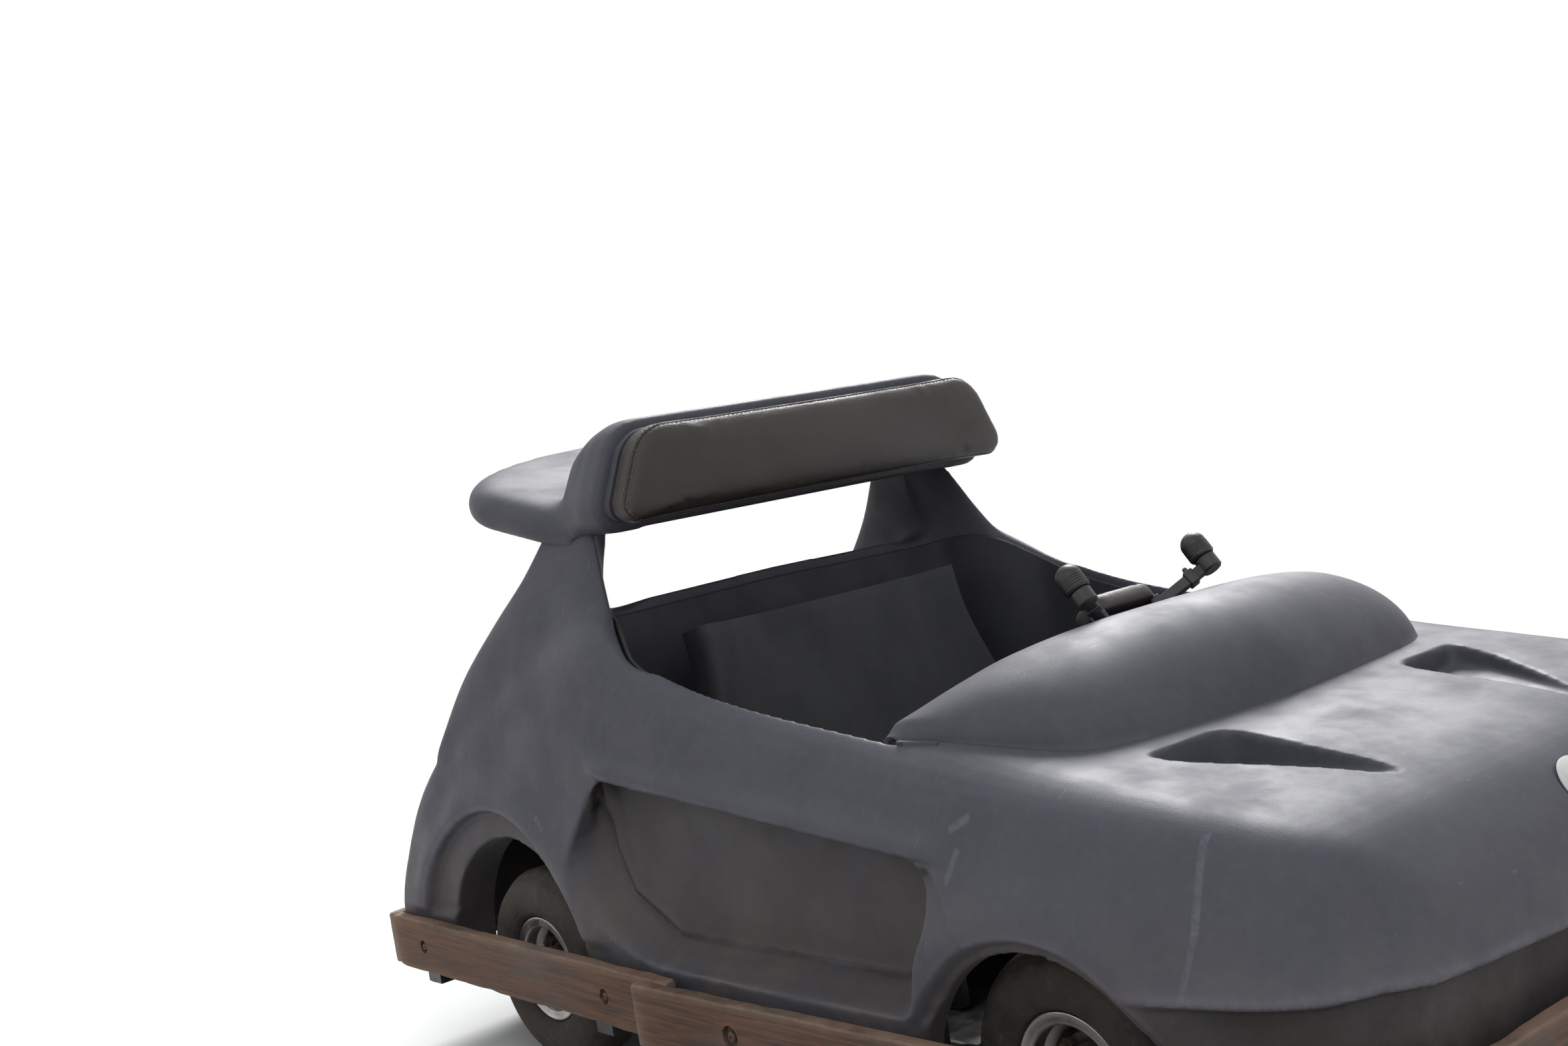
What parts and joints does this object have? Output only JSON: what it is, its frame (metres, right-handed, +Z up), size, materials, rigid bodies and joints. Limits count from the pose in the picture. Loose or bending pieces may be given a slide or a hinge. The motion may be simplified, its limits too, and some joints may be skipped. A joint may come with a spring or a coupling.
{
  "type": "single-seat amusement park drive-yourself car",
  "caption": "Low open-cockpit amusement-park ride car with plastic body, plank bumpers, headrest spoiler, pneumatic tyres and a yoke that steers the front wheels.",
  "frame": {"origin": "bottom centre of the car's bounding box, on the ground under its middle", "axes": "+X is forward, +Y is the driver's left, +Z is up"},
  "size_m": [1.8, 1.064, 0.898],
  "materials": {
    "body_plastic": "charcoal moulded plastic with a fine grain",
    "tub_plastic": "black moulded plastic",
    "pad_vinyl": "brown-black padded vinyl",
    "wood_plank": "weathered brown planks",
    "tyre_rubber": "dusty black rubber",
    "rim_steel": "dull silver pressed steel",
    "frame_paint": "satin black paint",
    "shaft_steel": "bare turned steel",
    "grip_rubber": "black rubber",
    "motor_paint": "dark grey paint",
    "battery_plastic": "black battery cases",
    "floor_metal": "plain sheet",
    "disc_white": "plain pale disc"
  },
  "bodies": {
    "car": {"body_shell": "body_plastic", "cowl": "body_plastic", "spoiler": "body_plastic", "headrest_pad": "pad_vinyl", "cockpit_tub": "tub_plastic", "seat": "tub_plastic", "floor_pan": "floor_metal", "chassis_frame": "frame_paint", "front_axle_beam": "frame_paint", "steering_gearbox": "shaft_steel", "column_support": "frame_paint", "axle_bearings": "frame_paint", "drive_motor": "motor_paint", "battery_pack": "battery_plastic", "accelerator_pedal": "frame_paint", "brake_pedal": "frame_paint", "bumper_front": "wood_plank", "bumper_rear": "wood_plank", "bumper_corner_right": "wood_plank", "bumper_corner_left": "wood_plank", "bumper_side_front_right": "wood_plank", "bumper_side_front_left": "wood_plank", "bumper_side_rear_right": "wood_plank", "bumper_side_rear_left": "wood_plank", "nose_disc": "disc_white"},
    "yoke": {"steering_column": "shaft_steel", "yoke_bar": "frame_paint", "yoke_pad": "pad_vinyl", "grip_right": "grip_rubber", "grip_left": "grip_rubber"},
    "drop_arm_body": {"drop_arm": "shaft_steel"},
    "tie_rod_body": {"tie_rod": "shaft_steel"},
    "knuckle_right_body": {"knuckle_right": "shaft_steel"},
    "knuckle_left_body": {"knuckle_left": "shaft_steel"},
    "wheel_front_right": {"tyre_front_right": "tyre_rubber", "rim_front_right": "rim_steel"},
    "wheel_front_left": {"tyre_front_left": "tyre_rubber", "rim_front_left": "rim_steel"},
    "rear_wheels": {"rear_axle": "shaft_steel", "rim_rear_right": "rim_steel", "rim_rear_left": "rim_steel", "tyre_rear_right": "tyre_rubber", "tyre_rear_left": "tyre_rubber"}
  },
  "joints": [
    {"name": "yoke_turn", "type": "hinge", "parent": "car", "child": "yoke", "pos_m": [0.277, 0, 0.547], "axis": [-0.6018, 0, 0.7986], "range_deg": [-90, 90]},
    {"name": "knuckle_right_steer", "type": "hinge", "parent": "car", "child": "knuckle_right_body", "pos_m": [0.475, -0.3, 0.142], "axis": [0, 0, 1], "range_deg": [-25.1, 25.1]},
    {"name": "knuckle_left_steer", "type": "hinge", "parent": "car", "child": "knuckle_left_body", "pos_m": [0.475, 0.3, 0.142], "axis": [0, 0, 1], "range_deg": [-25.1, 25.1]},
    {"name": "drop_arm_turn", "type": "hinge", "parent": "car", "child": "drop_arm_body", "pos_m": [0.535, 0, 0.15], "axis": [0, 0, 1], "range_deg": [-25.1, 25.1]},
    {"name": "tie_rod_link", "type": "hinge", "parent": "drop_arm_body", "child": "tie_rod_body", "pos_m": [0.615, 0, 0.14], "axis": [0, 0, 1], "range_deg": [-25.1, 25.1]},
    {"name": "wheel_front_right_spin", "type": "hinge", "parent": "knuckle_right_body", "child": "wheel_front_right", "pos_m": [0.475, -0.38, 0.142], "axis": [0, 1, 0], "continuous": true},
    {"name": "wheel_front_left_spin", "type": "hinge", "parent": "knuckle_left_body", "child": "wheel_front_left", "pos_m": [0.475, 0.38, 0.142], "axis": [0, 1, 0], "continuous": true},
    {"name": "rear_axle_spin", "type": "hinge", "parent": "car", "child": "rear_wheels", "pos_m": [-0.535, 0, 0.142], "axis": [0, 1, 0], "continuous": true}
  ],
  "couplings": [
    {"joint": "knuckle_right_steer", "follows": "yoke_turn", "ratio": 0.27778},
    {"joint": "knuckle_left_steer", "follows": "yoke_turn", "ratio": 0.27778},
    {"joint": "drop_arm_turn", "follows": "yoke_turn", "ratio": 0.27778},
    {"joint": "tie_rod_link", "follows": "yoke_turn", "ratio": -0.27778}
  ]
}
